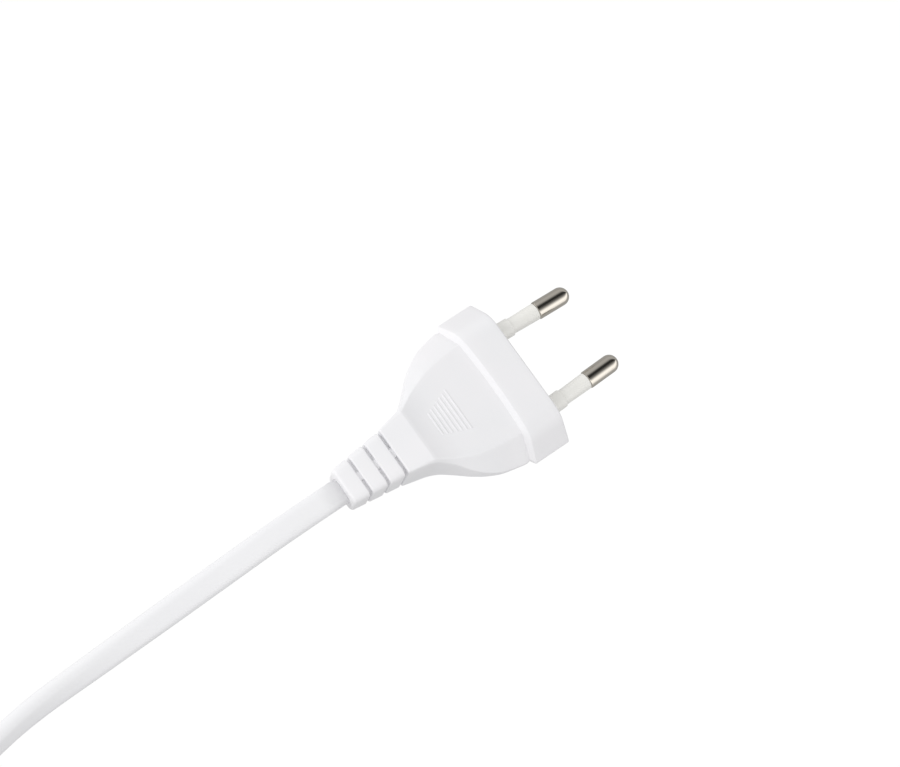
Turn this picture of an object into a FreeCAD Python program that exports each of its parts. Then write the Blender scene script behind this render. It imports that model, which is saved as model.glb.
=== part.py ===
import FreeCAD, Part
import math
import os

# Moulded two-pole plug on a flat twin lead, in millimetres.
# Row frame: +X along the pins towards their tips, +Y to the left pin, +Z up.
# The plug lies on its flat underside, and the origin is under the middle of the plug without its lead.

Vector = FreeCAD.Vector

# Driving sizes of the two-pole plug standard
PIN_DIAMETER = 4.0
PIN_LENGTH = 19.0
PIN_SPACING_AT_FACE = 18.8
PIN_SPACING_AT_TIPS = 17.5
SLEEVE_REACH = 10.8
FACE_WIDTH = 35.3
FACE_THICKNESS = 13.7
FACE_FLAT_WIDTH = 24.8

# Pins below the engagement face
SHANK_DIAMETER = 3.0
ANCHOR_DIAMETER = 4.4
ANCHOR_DEPTH = 3.6
ANCHOR_THICKNESS = 1.6
BARREL_DEPTH = 9.0
BARREL_LENGTH = 6.0
BARREL_DIAMETER = 3.4
PIN_FOOT_CHAMFER = 0.15
SLEEVE_DIAMETER = 3.66
COLLAR_DIAMETER = 3.96
COLLAR_REACH = 3.5
SLEEVE_ROOT_DEPTH = 2.0

# Flange behind the engagement face
FLANGE_DEPTH = 8.25
FLANGE_HOLLOW_RADIUS = 150.0
FLANGE_REAR_CHAMFER = 1.2
FLANGE_VERTEX_RADIUS = 1.3
FLANGE_CORNER_RADIUS = 2.2
FLANGE_FRONT_CHAMFER = 0.3

# Grip between the flange and the neck
PANEL_HALF_THICKNESS = 5.6
LOFT_DEGREE = 3
COVE_RADIUS = 4.6
COVE_INSET = 0.3
COVE_TAIL = 1.2

# Neck and strain relief
NECK_FRONT = 27.4
RELIEF_END = 45.5
NECK_TOP_HALF_WIDTH = 6.0
RELIEF_END_HALF_WIDTH = 4.2
RELIEF_END_HALF_THICKNESS = 4.0
RELIEF_CORNER_RADIUS = 2.0
RELIEF_END_CHAMFER = 0.6
GAP_WIDTH = 0.9
GAP_PITCH = 4.0
GAP_COUNT = 3
NECK_LENGTH = 5.85
CORE_TUBE_HALF_WIDTH = 3.9
CORE_TUBE_HALF_THICKNESS = 2.75
WEB_WIDTH = 2.1
WEB_RECESS = 0.7

# Grip lines on the two panels
GRIP_LINE_COUNT = 7
GRIP_LINE_PITCH = 0.96
GRIP_LINE_FIRST = 17.05
GRIP_LINE_FIRST_HALF_LENGTH = 5.05
GRIP_LINE_LAST_HALF_LENGTH = 2.85
GRIP_LINE_WIDTH = 0.45
GRIP_LINE_HEIGHT = 0.18

# Inner bridge that carries the pins
BRIDGE_DEPTH = 2.0
BRIDGE_THICKNESS = 5.0
BRIDGE_HALF_WIDTH = 13.0
BRIDGE_HALF_THICKNESS = 3.4
BRIDGE_WAIST_HALF_WIDTH = 5.6
BRIDGE_WAIST_DEPTH = 1.2
BRIDGE_CORNER_RADIUS = 1.2

# Flat twin lead
LEAD_WIDTH = 5.7
LEAD_THICKNESS = 3.4
CORE_DIAMETER = 2.2
CORE_PITCH = 2.3
CONDUCTOR_DIAMETER = 1.1
STRIPPED_LENGTH = 15.5
CORE_STRAIGHT_PAST_SHEATH = 1.8
CORE_STRAIGHT_TO_BARREL = 4.5
CONDUCTOR_IN_BARREL = 5.0

# Put-away hank of the length that lies past the stretch in sight, and its tie
HANK_COLUMNS = 2
HANK_LAYERS = 3
HANK_COLUMN_PITCH = 4.0
HANK_FOLD_RADIUS = 17.1
HANK_STRAIGHT = 58.3
HANK_NEAR_FOLD_X = -174.0
HANK_ENTRY_Y = -14.3
HANK_STUB = 15.0
TIE_WIDTH = 6.0
TIE_THICKNESS = 0.5

# Stripped far end of the lead
CORE_END_LENGTH = 16.0
END_SLEEVE_DIAMETER = 1.7
END_SLEEVE_LENGTH = 9.0
END_SLEEVE_FLARE = 2.1
FAR_END_CLEARANCE = 3.0

# Values worked out from the driving sizes
HALF_THICKNESS = FACE_THICKNESS / 2
HALF_WIDTH = FACE_WIDTH / 2
FACE_X = (RELIEF_END - PIN_LENGTH) / 2
PIN_LEAN = math.degrees(math.atan((PIN_SPACING_AT_FACE - PIN_SPACING_AT_TIPS) / 2 / PIN_LENGTH))
FIRST_GAP = NECK_FRONT + NECK_LENGTH
HANK_OUTER_FOLD_RADIUS = HANK_FOLD_RADIUS + (HANK_COLUMNS - 1) * HANK_COLUMN_PITCH
HANK_FAR_FOLD_X = HANK_NEAR_FOLD_X - HANK_STRAIGHT
HANK_CENTRE_Y = HANK_ENTRY_Y + HANK_OUTER_FOLD_RADIUS
HANK_HEIGHT = HANK_LAYERS * LEAD_WIDTH
LEAD_ON_EDGE_Z = LEAD_WIDTH / 2
HANK_FIRST_Z = TIE_THICKNESS + LEAD_WIDTH / 2
FAR_END_X = HANK_NEAR_FOLD_X - FAR_END_CLEARANCE - CORE_END_LENGTH - END_SLEEVE_LENGTH

# Route of the lead in the row frame, from the strain relief to the hank
LEAD_ROUTE = [
    Vector(FACE_X - RELIEF_END, 0.0, HALF_THICKNESS),
    Vector(-46.0, 0.0, HALF_THICKNESS),
    Vector(-66.0, -0.45, 4.3),
    Vector(-90.0, -1.1, 2.35),
    Vector(-112.0, -2.0, LEAD_ON_EDGE_Z),
    Vector(-130.0, -7.0, LEAD_ON_EDGE_Z),
    Vector(-147.5, HANK_ENTRY_Y, HANK_FIRST_Z),
    Vector(HANK_NEAR_FOLD_X + HANK_STUB, HANK_ENTRY_Y, HANK_FIRST_Z),
]

# Stations of the grip behind the face: depth, half width, half height of the side wall, panel half width
GRIP_STATIONS = [
    (7.6, 16.6, 0.5, 11.25),
    (12.0, 16.15, 0.5, 11.0),
    (15.5, 15.4, 0.8, 10.6),
    (18.5, 13.9, 1.5, 10.0),
    (21.0, 12.0, 2.5, 9.1),
    (23.6, 9.4, 4.0, 8.0),
    (26.2, 7.4, 4.8, 6.75),
    (28.6, 6.4, 4.9, 5.75),
]


def rounded_loop(points, radii):
    """Return a closed wire through the points, with each corner turned into a tangent arc."""
    count = len(points)
    starts = []
    ends = []
    middles = []
    for index, corner in enumerate(points):
        back = (points[index - 1] - corner).normalize()
        ahead = (points[(index + 1) % count] - corner).normalize()
        half_angle = back.getAngle(ahead) / 2
        reach = radii[index] / math.tan(half_angle)
        bisector = (back + ahead).normalize()
        centre = corner + bisector * (radii[index] / math.sin(half_angle))
        starts.append(corner + back * reach)
        ends.append(corner + ahead * reach)
        middles.append(centre - bisector * radii[index])
    edges = []
    for index in range(count):
        edges.append(Part.Arc(starts[index], middles[index], ends[index]).toShape())
        following = starts[(index + 1) % count]
        edges.append(Part.LineSegment(ends[index], following).toShape())
    return Part.Wire(edges)


def eight_sided_loop(x, half_width, wall, top_half_width, top):
    """Return a symmetric eight-sided section across X."""
    quarter = [(half_width, wall), (top_half_width, top)]
    points = [(y, z) for y, z in quarter]
    points += [(-y, z) for y, z in reversed(quarter)]
    points += [(-y, -z) for y, z in quarter]
    points += [(y, -z) for y, z in reversed(quarter)]
    corners = [Vector(x, y, z) for y, z in points]
    return Part.makePolygon(corners + corners[:1])


def rectangle_loop(x, half_width, half_thickness, radius):
    """Return a rounded rectangle across X."""
    corners = [(1, 1), (-1, 1), (-1, -1), (1, -1)]
    points = [Vector(x, half_width * y, half_thickness * z) for y, z in corners]
    return rounded_loop(points, [radius] * 4)


def extruded(wire, direction):
    """Return the solid that a closed wire sweeps along a direction."""
    return Part.Face(wire).extrude(direction)


def lead_section(centre, width_axis, thickness_axis):
    """Return the flat lead's outline: two half circles joined by straight sides."""
    half_flat = (LEAD_WIDTH - LEAD_THICKNESS) / 2
    radius = LEAD_THICKNESS / 2
    right = centre + width_axis * half_flat
    left = centre - width_axis * half_flat
    up = thickness_axis * radius
    out = width_axis * radius
    edges = [
        Part.LineSegment(left + up, right + up).toShape(),
        Part.Arc(right + up, right + out, right - up).toShape(),
        Part.LineSegment(right - up, left - up).toShape(),
        Part.Arc(left - up, left - out, left + up).toShape(),
    ]
    return Part.Wire(edges)


def route_wire(points):
    """Return straight runs joined by tangent arcs, and the list of arc radii."""
    edges = []
    used = []
    start = points[0]
    for index in range(1, len(points) - 1):
        corner = points[index]
        back = points[index - 1] - corner
        ahead = points[index + 1] - corner
        half_turn = (math.pi - back.getAngle(ahead)) / 2
        radius = 0.45 * min(back.Length, ahead.Length) / math.tan(half_turn)
        reach = radius * math.tan(half_turn)
        back.normalize()
        ahead.normalize()
        bisector = (back + ahead).normalize()
        centre = corner + bisector * (radius / math.cos(half_turn))
        arc_start = corner + back * reach
        arc_end = corner + ahead * reach
        edges.append(Part.LineSegment(start, arc_start).toShape())
        edges.append(Part.Arc(arc_start, centre - bisector * radius, arc_end).toShape())
        used.append(radius)
        start = arc_end
    edges.append(Part.LineSegment(start, points[-1]).toShape())
    return Part.Wire(edges), used


def flange_blank():
    """Return the six-sided flange with its hollowed rear face and rounded rims."""
    top = FACE_FLAT_WIDTH / 2
    half_corner = math.atan(HALF_THICKNESS / (HALF_WIDTH - top))
    vertex = HALF_WIDTH + FLANGE_VERTEX_RADIUS * (1 / math.sin(half_corner) - 1)
    outline = [
        (vertex, 0.0),
        (top, HALF_THICKNESS),
        (-top, HALF_THICKNESS),
        (-vertex, 0.0),
        (-top, -HALF_THICKNESS),
        (top, -HALF_THICKNESS),
    ]
    points = [Vector(0, y, z) for y, z in outline]
    corner = FLANGE_CORNER_RADIUS
    radii = [FLANGE_VERTEX_RADIUS, corner, corner] * 2
    depth = FLANGE_DEPTH + 3
    blank = extruded(rounded_loop(points, radii), Vector(-depth, 0, 0))
    front = [edge for edge in blank.Edges if edge.BoundBox.XMin > -0.01]
    blank = blank.makeChamfer(FLANGE_FRONT_CHAMFER, front)
    centre = Vector(-FLANGE_DEPTH - FLANGE_HOLLOW_RADIUS, 0, -FACE_THICKNESS)
    hollow = Part.makeCylinder(FLANGE_HOLLOW_RADIUS, 2 * FACE_THICKNESS, centre)
    hollow.rotate(centre, Vector(0, 0, 1), 180)
    blank = blank.cut(hollow)
    rear = [edge for edge in blank.Edges if edge.BoundBox.XMax < -FLANGE_DEPTH * 0.9]
    return blank.makeChamfer(FLANGE_REAR_CHAMFER, rear)


def grip_blank():
    """Return the tapering grip between the flange and the neck, cut flat at its two panels."""
    loops = []
    for depth, half_width, wall, panel in GRIP_STATIONS:
        slant = (panel - half_width) / (PANEL_HALF_THICKNESS - wall)
        crown = panel + slant * (HALF_THICKNESS - PANEL_HALF_THICKNESS)
        loops.append(eight_sided_loop(-depth, half_width, wall, crown, HALF_THICKNESS))
    blank = Part.makeLoft(loops, True, False, False, LOFT_DEGREE)
    length = GRIP_STATIONS[-1][0] - GRIP_STATIONS[0][0]
    start = Vector(-GRIP_STATIONS[-1][0], -HALF_WIDTH, -PANEL_HALF_THICKNESS)
    slab = Part.makeBox(length, FACE_WIDTH, 2 * PANEL_HALF_THICKNESS, start)
    return blank.common(slab)


def relief_half_sizes(depth):
    """Return the neck's half width and half thickness at a depth behind the face."""
    share = (depth - NECK_FRONT) / (RELIEF_END - NECK_FRONT)
    half_width = NECK_TOP_HALF_WIDTH + share * (RELIEF_END_HALF_WIDTH - NECK_TOP_HALF_WIDTH)
    half_thickness = HALF_THICKNESS + share * (RELIEF_END_HALF_THICKNESS - HALF_THICKNESS)
    return half_width, half_thickness


def tapering_prism(half_sizes, axis, reach):
    """Return the neck's outline across one axis, drawn out along that axis to both sides."""
    points = []
    for depth, half in half_sizes:
        points.append(Vector(-depth, 0, 0) + axis.cross(Vector(1, 0, 0)) * half)
    for depth, half in reversed(half_sizes):
        points.append(Vector(-depth, 0, 0) - axis.cross(Vector(1, 0, 0)) * half)
    points = [point - axis * reach for point in points]
    return extruded(Part.makePolygon(points + points[:1]), axis * (2 * reach))


def relief_blank():
    """Return the neck and the strain relief as one tapering bar with its gaps cut."""
    ends = [(depth, relief_half_sizes(depth)) for depth in (NECK_FRONT, RELIEF_END)]
    plan = tapering_prism([(depth, sizes[0]) for depth, sizes in ends], Vector(0, 0, 1), FACE_THICKNESS)
    side = tapering_prism([(depth, sizes[1]) for depth, sizes in ends], Vector(0, 1, 0), HALF_WIDTH)
    bar = plan.common(side)
    long_edges = [edge for edge in bar.Edges if edge.BoundBox.XLength > GAP_PITCH]
    bar = bar.makeFillet(RELIEF_CORNER_RADIUS, long_edges)
    rim = [edge for edge in bar.Edges if edge.BoundBox.XMax < -RELIEF_END + GAP_WIDTH]
    bar = bar.makeChamfer(RELIEF_END_CHAMFER, rim)
    for index in range(GAP_COUNT):
        bar = bar.cut(relief_gap(FIRST_GAP + index * GAP_PITCH))
    return bar


def panel_half_width(depth):
    """Return the panel's half width at a depth, between the stations of the grip."""
    for near, far in zip(GRIP_STATIONS, GRIP_STATIONS[1:]):
        if near[0] <= depth <= far[0]:
            share = (depth - near[0]) / (far[0] - near[0])
            return near[3] + share * (far[3] - near[3])
    return GRIP_STATIONS[-1][3]


def relief_gap(depth):
    """Return the material that one gap takes away, leaving the tube and two webs."""
    reach = HALF_WIDTH
    gap = Part.makeBox(GAP_WIDTH, 2 * reach, 2 * reach, Vector(-depth - GAP_WIDTH, -reach, -reach))
    start = -depth - GAP_WIDTH
    tube = extruded(
        rectangle_loop(start, CORE_TUBE_HALF_WIDTH, CORE_TUBE_HALF_THICKNESS, RELIEF_CORNER_RADIUS),
        Vector(GAP_WIDTH, 0, 0),
    )
    web_half_height = relief_half_sizes(depth + GAP_WIDTH)[1] - WEB_RECESS
    web_corner = Vector(start, -WEB_WIDTH / 2, -web_half_height)
    web = Part.makeBox(GAP_WIDTH, WEB_WIDTH, 2 * web_half_height, web_corner)
    return gap.cut(tube).cut(web)


def cove():
    """Return the pair of coves by which the panels rise to the neck's front edge."""
    rise = HALF_THICKNESS - PANEL_HALF_THICKNESS
    length = math.sqrt(2 * COVE_RADIUS * rise - rise * rise)
    half_angle = math.asin(length / COVE_RADIUS) / 2
    front = Vector(-NECK_FRONT + length, 0, PANEL_HALF_THICKNESS)
    middle = Vector(
        front.x - COVE_RADIUS * math.sin(half_angle),
        0,
        front.z + COVE_RADIUS * (1 - math.cos(half_angle)),
    )
    top = Vector(-NECK_FRONT, 0, HALF_THICKNESS)
    rear_depth = NECK_FRONT + COVE_TAIL
    rear = Vector(-rear_depth, 0, relief_half_sizes(rear_depth)[1])
    base = PANEL_HALF_THICKNESS - rise
    low_rear = Vector(rear.x, 0, base)
    low_front = Vector(front.x, 0, base)
    corners = [(top, rear), (rear, low_rear), (low_rear, low_front), (low_front, front)]
    edges = [Part.Arc(front, middle, top).toShape()]
    edges += [Part.LineSegment(a, b).toShape() for a, b in corners]
    wire = Part.Wire(edges)
    wire.translate(Vector(0, -HALF_WIDTH, 0))
    upper = extruded(wire, Vector(0, 2 * HALF_WIDTH, 0))
    half_widths = [
        (rear.x, relief_half_sizes(rear_depth)[0] - RELIEF_CORNER_RADIUS / 2),
        (top.x, NECK_TOP_HALF_WIDTH - COVE_INSET),
        (front.x, panel_half_width(-front.x) - COVE_INSET),
    ]
    taper = [Vector(x, y, 0) for x, y in half_widths]
    taper += [Vector(x, -y, 0) for x, y in reversed(half_widths)]
    plan = extruded(Part.makePolygon(taper + taper[:1]), Vector(0, 0, FACE_THICKNESS))
    upper = upper.common(plan)
    return upper, upper.mirror(Vector(0, 0, 0), Vector(0, 0, 1))


def grip_lines():
    """Return the raised grip lines of both panels, each a low bar with slanting sides."""
    bars = []
    half = GRIP_LINE_WIDTH / 2
    outline = [(-half, 0), (-half / 2, GRIP_LINE_HEIGHT), (half / 2, GRIP_LINE_HEIGHT), (half, 0)]
    outline += [(half, -GRIP_LINE_HEIGHT), (-half, -GRIP_LINE_HEIGHT)]
    for index in range(GRIP_LINE_COUNT):
        share = index / (GRIP_LINE_COUNT - 1)
        span = GRIP_LINE_LAST_HALF_LENGTH - GRIP_LINE_FIRST_HALF_LENGTH
        half_length = GRIP_LINE_FIRST_HALF_LENGTH + share * span
        x = -GRIP_LINE_FIRST - index * GRIP_LINE_PITCH
        for side in (-1, 1):
            base = Vector(x, -half_length, side * PANEL_HALF_THICKNESS)
            points = [base + Vector(along, 0, side * up) for along, up in outline]
            bars.append(extruded(Part.makePolygon(points + points[:1]), Vector(0, 2 * half_length, 0)))
    return bars


def pin_frame(side):
    """Return a pin's foot on the face plane and its outward direction."""
    lean = math.radians(PIN_LEAN)
    foot = Vector(0, side * PIN_SPACING_AT_FACE / 2, 0)
    direction = Vector(math.cos(lean), -side * math.sin(lean), 0)
    return foot, direction


def placed_on_pin(shape, side):
    """Turn a shape made along X onto a pin's leaning axis."""
    foot, direction = pin_frame(side)
    shape.rotate(Vector(0, 0, 0), Vector(0, 0, 1), math.degrees(math.atan2(direction.y, direction.x)))
    shape.translate(foot)
    return shape


def turned(outline):
    """Return the solid of an outline of (along, radius) points turned about X."""
    points = [Vector(along, 0, radius) for along, radius in outline]
    points.append(points[0])
    return Part.Face(Part.makePolygon(points)).revolve(Vector(0, 0, 0), Vector(1, 0, 0), 360)


def pin(side):
    """Return one pin: round tip, bare metal, thin shank, anchor ring and crimp barrel."""
    radius = PIN_DIAMETER / 2
    shank = SHANK_DIAMETER / 2
    anchor = ANCHOR_DIAMETER / 2
    barrel = BARREL_DIAMETER / 2
    bore = CONDUCTOR_DIAMETER / 2
    mouth = -BARREL_DEPTH - BARREL_LENGTH
    tip = PIN_LENGTH - radius
    body = turned([
        (mouth + CONDUCTOR_IN_BARREL, 0), (mouth + CONDUCTOR_IN_BARREL, bore), (mouth, bore),
        (mouth, barrel), (-BARREL_DEPTH, barrel), (-BARREL_DEPTH, shank),
        (-ANCHOR_DEPTH - ANCHOR_THICKNESS, shank), (-ANCHOR_DEPTH - ANCHOR_THICKNESS, anchor),
        (-ANCHOR_DEPTH, anchor), (-ANCHOR_DEPTH, shank),
        (SLEEVE_REACH, shank), (SLEEVE_REACH, radius - PIN_FOOT_CHAMFER),
        (SLEEVE_REACH + PIN_FOOT_CHAMFER, radius), (tip, radius), (tip, 0),
    ])
    body = body.fuse(Part.makeSphere(radius, Vector(tip, 0, 0), Vector(1, 0, 0), 0, 90, 360))
    return placed_on_pin(body.removeSplitter(), side)


def pin_sleeve(side):
    """Return one insulating sleeve with the collar at its foot."""
    collar = COLLAR_DIAMETER / 2
    body = SLEEVE_DIAMETER / 2
    inner = SHANK_DIAMETER / 2
    step = (collar - body) * 2
    sleeve = turned([
        (-SLEEVE_ROOT_DEPTH, inner), (-SLEEVE_ROOT_DEPTH, collar), (COLLAR_REACH - step, collar),
        (COLLAR_REACH, body), (SLEEVE_REACH, body), (SLEEVE_REACH, inner),
    ])
    return placed_on_pin(sleeve, side)


def bridge_block():
    """Return the stiff inner bridge before the pins are cast into it."""
    rear = -BRIDGE_DEPTH - BRIDGE_THICKNESS
    loop = rectangle_loop(rear, BRIDGE_HALF_WIDTH, BRIDGE_HALF_THICKNESS, BRIDGE_CORNER_RADIUS)
    block = extruded(loop, Vector(BRIDGE_THICKNESS, 0, 0))
    for side in (-1, 1):
        z = side * BRIDGE_HALF_THICKNESS - (BRIDGE_WAIST_DEPTH if side > 0 else 0)
        corner = Vector(rear, -BRIDGE_WAIST_HALF_WIDTH, z)
        waist = Part.makeBox(BRIDGE_THICKNESS, 2 * BRIDGE_WAIST_HALF_WIDTH, BRIDGE_WAIST_DEPTH, corner)
        block = block.cut(waist)
    return block


def core_points(side):
    """Return the corners of one core's way from the relief's end to the crimp barrel."""
    foot, direction = pin_frame(side)
    mouth = foot - direction * (BARREL_DEPTH + BARREL_LENGTH)
    lane = side * CORE_PITCH / 2
    spread = -RELIEF_END + STRIPPED_LENGTH + CORE_STRAIGHT_PAST_SHEATH
    return [
        Vector(-RELIEF_END, lane, 0),
        Vector(spread, lane, 0),
        mouth - direction * CORE_STRAIGHT_TO_BARREL,
        mouth,
    ]


def bent_bar(points, diameter):
    """Return a round bar along straight runs that meet in mitred bends."""
    profile = Part.Wire([Part.Circle(points[0], points[1] - points[0], diameter / 2).toShape()])
    mitred = 1
    return Part.makePolygon(points).makePipeShell([profile], True, False, mitred)


def conductor(side):
    """Return one copper conductor, which runs on into its crimp barrel."""
    points = core_points(side)
    direction = pin_frame(side)[1]
    points[-1] = points[-1] + direction * CONDUCTOR_IN_BARREL
    return bent_bar(points, CONDUCTOR_DIAMETER)


def core_insulation(side, copper):
    """Return one core's insulation, around its conductor."""
    return bent_bar(core_points(side), CORE_DIAMETER).cut(copper)


def sheath_blank():
    """Return the stretch of sheath inside the strain relief, before its cores are cut out."""
    section = lead_section(Vector(-RELIEF_END, 0, 0), Vector(0, 1, 0), Vector(0, 0, 1))
    return extruded(section, Vector(STRIPPED_LENGTH, 0, 0))


def without(shape, pieces):
    """Return a shape with each of the pieces cut out of it."""
    for piece in pieces:
        shape = shape.cut(piece)
    return shape


def overmould(inside):
    """Return the outer moulding, cast around everything inside it."""
    body = flange_blank()
    for blank in [grip_blank(), relief_blank(), *cove(), *grip_lines()]:
        body = body.fuse(blank)
    return body.removeSplitter().cut(inside)


def lead_run():
    """Return the lead's tube from the strain relief to the hank."""
    path, radii = route_wire(LEAD_ROUTE)
    section = lead_section(LEAD_ROUTE[0], Vector(0, 1, 0), Vector(0, 0, 1))
    tube = path.makePipeShell([section], True, False)
    area = Part.Face(section).Area
    print("lead radii", [round(radius, 1) for radius in radii])
    print("lead length", round(path.Length, 2), "volume ratio", round(tube.Volume / area / path.Length, 4))
    return tube


def hank_loop(fold_radius, bottom):
    """Return the closed outline of one turn of the hank: two straight runs and two folds."""
    corners = [
        Vector(HANK_NEAR_FOLD_X, HANK_CENTRE_Y - fold_radius, bottom),
        Vector(HANK_FAR_FOLD_X, HANK_CENTRE_Y - fold_radius, bottom),
        Vector(HANK_FAR_FOLD_X, HANK_CENTRE_Y + fold_radius, bottom),
        Vector(HANK_NEAR_FOLD_X, HANK_CENTRE_Y + fold_radius, bottom),
    ]
    far_fold = Vector(HANK_FAR_FOLD_X - fold_radius, HANK_CENTRE_Y, bottom)
    near_fold = Vector(HANK_NEAR_FOLD_X + fold_radius, HANK_CENTRE_Y, bottom)
    return Part.Wire([
        Part.LineSegment(corners[0], corners[1]).toShape(),
        Part.Arc(corners[1], far_fold, corners[2]).toShape(),
        Part.LineSegment(corners[2], corners[3]).toShape(),
        Part.Arc(corners[3], near_fold, corners[0]).toShape(),
    ])


def far_end_channel():
    """Return the room that the stripped end takes from the top layer's inner turn."""
    inner = HANK_CENTRE_Y + HANK_FOLD_RADIUS - LEAD_THICKNESS
    outer = HANK_CENTRE_Y + HANK_FOLD_RADIUS + HANK_COLUMN_PITCH / 2
    bottom = TIE_THICKNESS + HANK_HEIGHT - LEAD_WIDTH
    length = HANK_NEAR_FOLD_X - FAR_END_X
    return Part.makeBox(length, outer - inner, LEAD_WIDTH, Vector(FAR_END_X, inner, bottom))


def lead_hank():
    """Return the outer shape of the put-away turns, with the stub that the tube meets."""
    height = Vector(0, 0, HANK_HEIGHT)
    outer = extruded(hank_loop(HANK_OUTER_FOLD_RADIUS + LEAD_THICKNESS / 2, TIE_THICKNESS), height)
    inner = extruded(hank_loop(HANK_FOLD_RADIUS - LEAD_THICKNESS / 2, TIE_THICKNESS), height)
    stub_start = Vector(HANK_NEAR_FOLD_X, HANK_ENTRY_Y, HANK_FIRST_Z)
    section = lead_section(stub_start, Vector(0, 0, 1), Vector(0, 1, 0))
    stub = extruded(section, Vector(HANK_STUB, 0, 0))
    return outer.cut(inner).cut(far_end_channel()).fuse(stub).removeSplitter()


def lead_tie():
    """Return the thin strip that is closed round the middle of the hank."""
    half_width = HANK_OUTER_FOLD_RADIUS + LEAD_THICKNESS / 2
    start = (HANK_NEAR_FOLD_X + HANK_FAR_FOLD_X - TIE_WIDTH) / 2
    half_height = HANK_HEIGHT / 2
    outer_loop = rectangle_loop(start, half_width + TIE_THICKNESS, half_height + TIE_THICKNESS, TIE_THICKNESS)
    strip = extruded(outer_loop, Vector(TIE_WIDTH, 0, 0))
    corner = Vector(start, -half_width, -half_height)
    strip = strip.cut(Part.makeBox(TIE_WIDTH, 2 * half_width, HANK_HEIGHT, corner))
    strip.translate(Vector(0, HANK_CENTRE_Y, half_height + TIE_THICKNESS))
    return strip


def far_end(side):
    """Return where one core leaves the sheath at the far end of the lead."""
    level = TIE_THICKNESS + HANK_HEIGHT - LEAD_WIDTH / 2
    return Vector(FAR_END_X, HANK_CENTRE_Y + HANK_FOLD_RADIUS, level + side * CORE_PITCH / 2)


def core_end(side):
    """Return one stripped core past the end of the sheath."""
    return Part.makeCylinder(CORE_DIAMETER / 2, CORE_END_LENGTH, far_end(side), Vector(1, 0, 0))


def end_sleeve(side):
    """Return the metal end sleeve that is pressed on one core's strands."""
    start = far_end(side) + Vector(CORE_END_LENGTH, 0, 0)
    tube = Part.makeCylinder(END_SLEEVE_DIAMETER / 2, END_SLEEVE_LENGTH, start, Vector(1, 0, 0))
    flare = Part.makeCone(END_SLEEVE_FLARE / 2, END_SLEEVE_DIAMETER / 2, 1.0, start, Vector(1, 0, 0))
    return tube.fuse(flare).removeSplitter()


def build():
    """Return every piece of the part by its node name, in the row frame."""
    sides = {"left": 1, "right": -1}
    poles = {"brown": 1, "blue": -1}
    pins = {name: pin(side) for name, side in sides.items()}
    sleeves = {name: pin_sleeve(side) for name, side in sides.items()}
    copper = {name: conductor(side) for name, side in poles.items()}
    cores = {name: core_insulation(side, copper[name]) for name, side in poles.items()}
    filled = [bent_bar(core_points(side), CORE_DIAMETER) for side in poles.values()]
    block = bridge_block()
    blank = sheath_blank()
    inside = block.fuse([blank, *filled, *copper.values(), *pins.values(), *sleeves.values()])
    inside = inside.removeSplitter()
    pieces = {"overmould_body": overmould(inside)}
    pieces["pin_bridge"] = without(block, [*pins.values(), *sleeves.values()])
    pieces["sheath_in_relief"] = without(blank, filled)
    for name in sides:
        pieces[name + "_pin"] = pins[name]
        pieces[name + "_pin_sleeve"] = sleeves[name]
    for name in poles:
        pieces[name + "_conductor"] = copper[name]
        pieces[name + "_core_insulation"] = cores[name]
    for shape in pieces.values():
        shape.translate(Vector(FACE_X, 0, HALF_THICKNESS))
    pieces["lead_run"] = lead_run()
    pieces["lead_hank"] = lead_hank()
    pieces["lead_tie"] = lead_tie()
    for name, side in poles.items():
        pieces[name + "_core_end"] = core_end(side)
        pieces[name + "_end_sleeve"] = end_sleeve(side)
    return pieces


os.makedirs("parts", exist_ok=True)
for node, shape in build().items():
    box = shape.optimalBoundingBox(False)
    solids = len(shape.Solids)
    print(node, "valid", shape.isValid(), "solids", solids, "volume", round(shape.Volume, 2),
          "x", round(box.XMin, 2), round(box.XMax, 2), "y", round(box.YMin, 2), round(box.YMax, 2),
          "z", round(box.ZMin, 2), round(box.ZMax, 2))
    shape.exportStep("parts/" + node + ".step")
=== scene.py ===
"""Moulded two-pole plug on a flat twin lead, dressed for the camera.

Sizes are in millimetres, or in metres where their name ends in _m. Blender gets them in metres, in
the frame of the CAD model: +X along the pins towards their tips, +Y to the left pin, +Z up, with the
plug lying on the surface at z = 0.
"""

import bpy
import bmesh
import logging
import math
from dataclasses import dataclass, field
from enum import Enum
from typing import Callable, Iterable, Sequence

from mathutils import Matrix, Vector

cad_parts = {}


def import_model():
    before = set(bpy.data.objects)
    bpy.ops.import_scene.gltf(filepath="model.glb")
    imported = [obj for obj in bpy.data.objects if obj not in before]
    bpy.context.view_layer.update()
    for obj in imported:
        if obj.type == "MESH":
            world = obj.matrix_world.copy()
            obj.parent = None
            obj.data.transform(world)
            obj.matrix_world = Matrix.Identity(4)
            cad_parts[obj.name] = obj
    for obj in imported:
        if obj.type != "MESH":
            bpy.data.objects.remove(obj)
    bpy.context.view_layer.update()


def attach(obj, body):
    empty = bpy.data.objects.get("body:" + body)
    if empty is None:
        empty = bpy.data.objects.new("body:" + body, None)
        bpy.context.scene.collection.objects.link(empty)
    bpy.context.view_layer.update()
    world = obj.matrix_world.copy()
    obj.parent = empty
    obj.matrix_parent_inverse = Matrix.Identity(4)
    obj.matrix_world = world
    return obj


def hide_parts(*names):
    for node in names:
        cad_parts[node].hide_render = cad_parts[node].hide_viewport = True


LOG = logging.getLogger("plug")

MM = 0.001
ROOT_BODY = "root"

Ring = list[Vector]
Outline = list[tuple[float, float]]


class Side(Enum):
    """The two sides of the plug, by the sign of Y."""

    LEFT = 1
    RIGHT = -1


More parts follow.
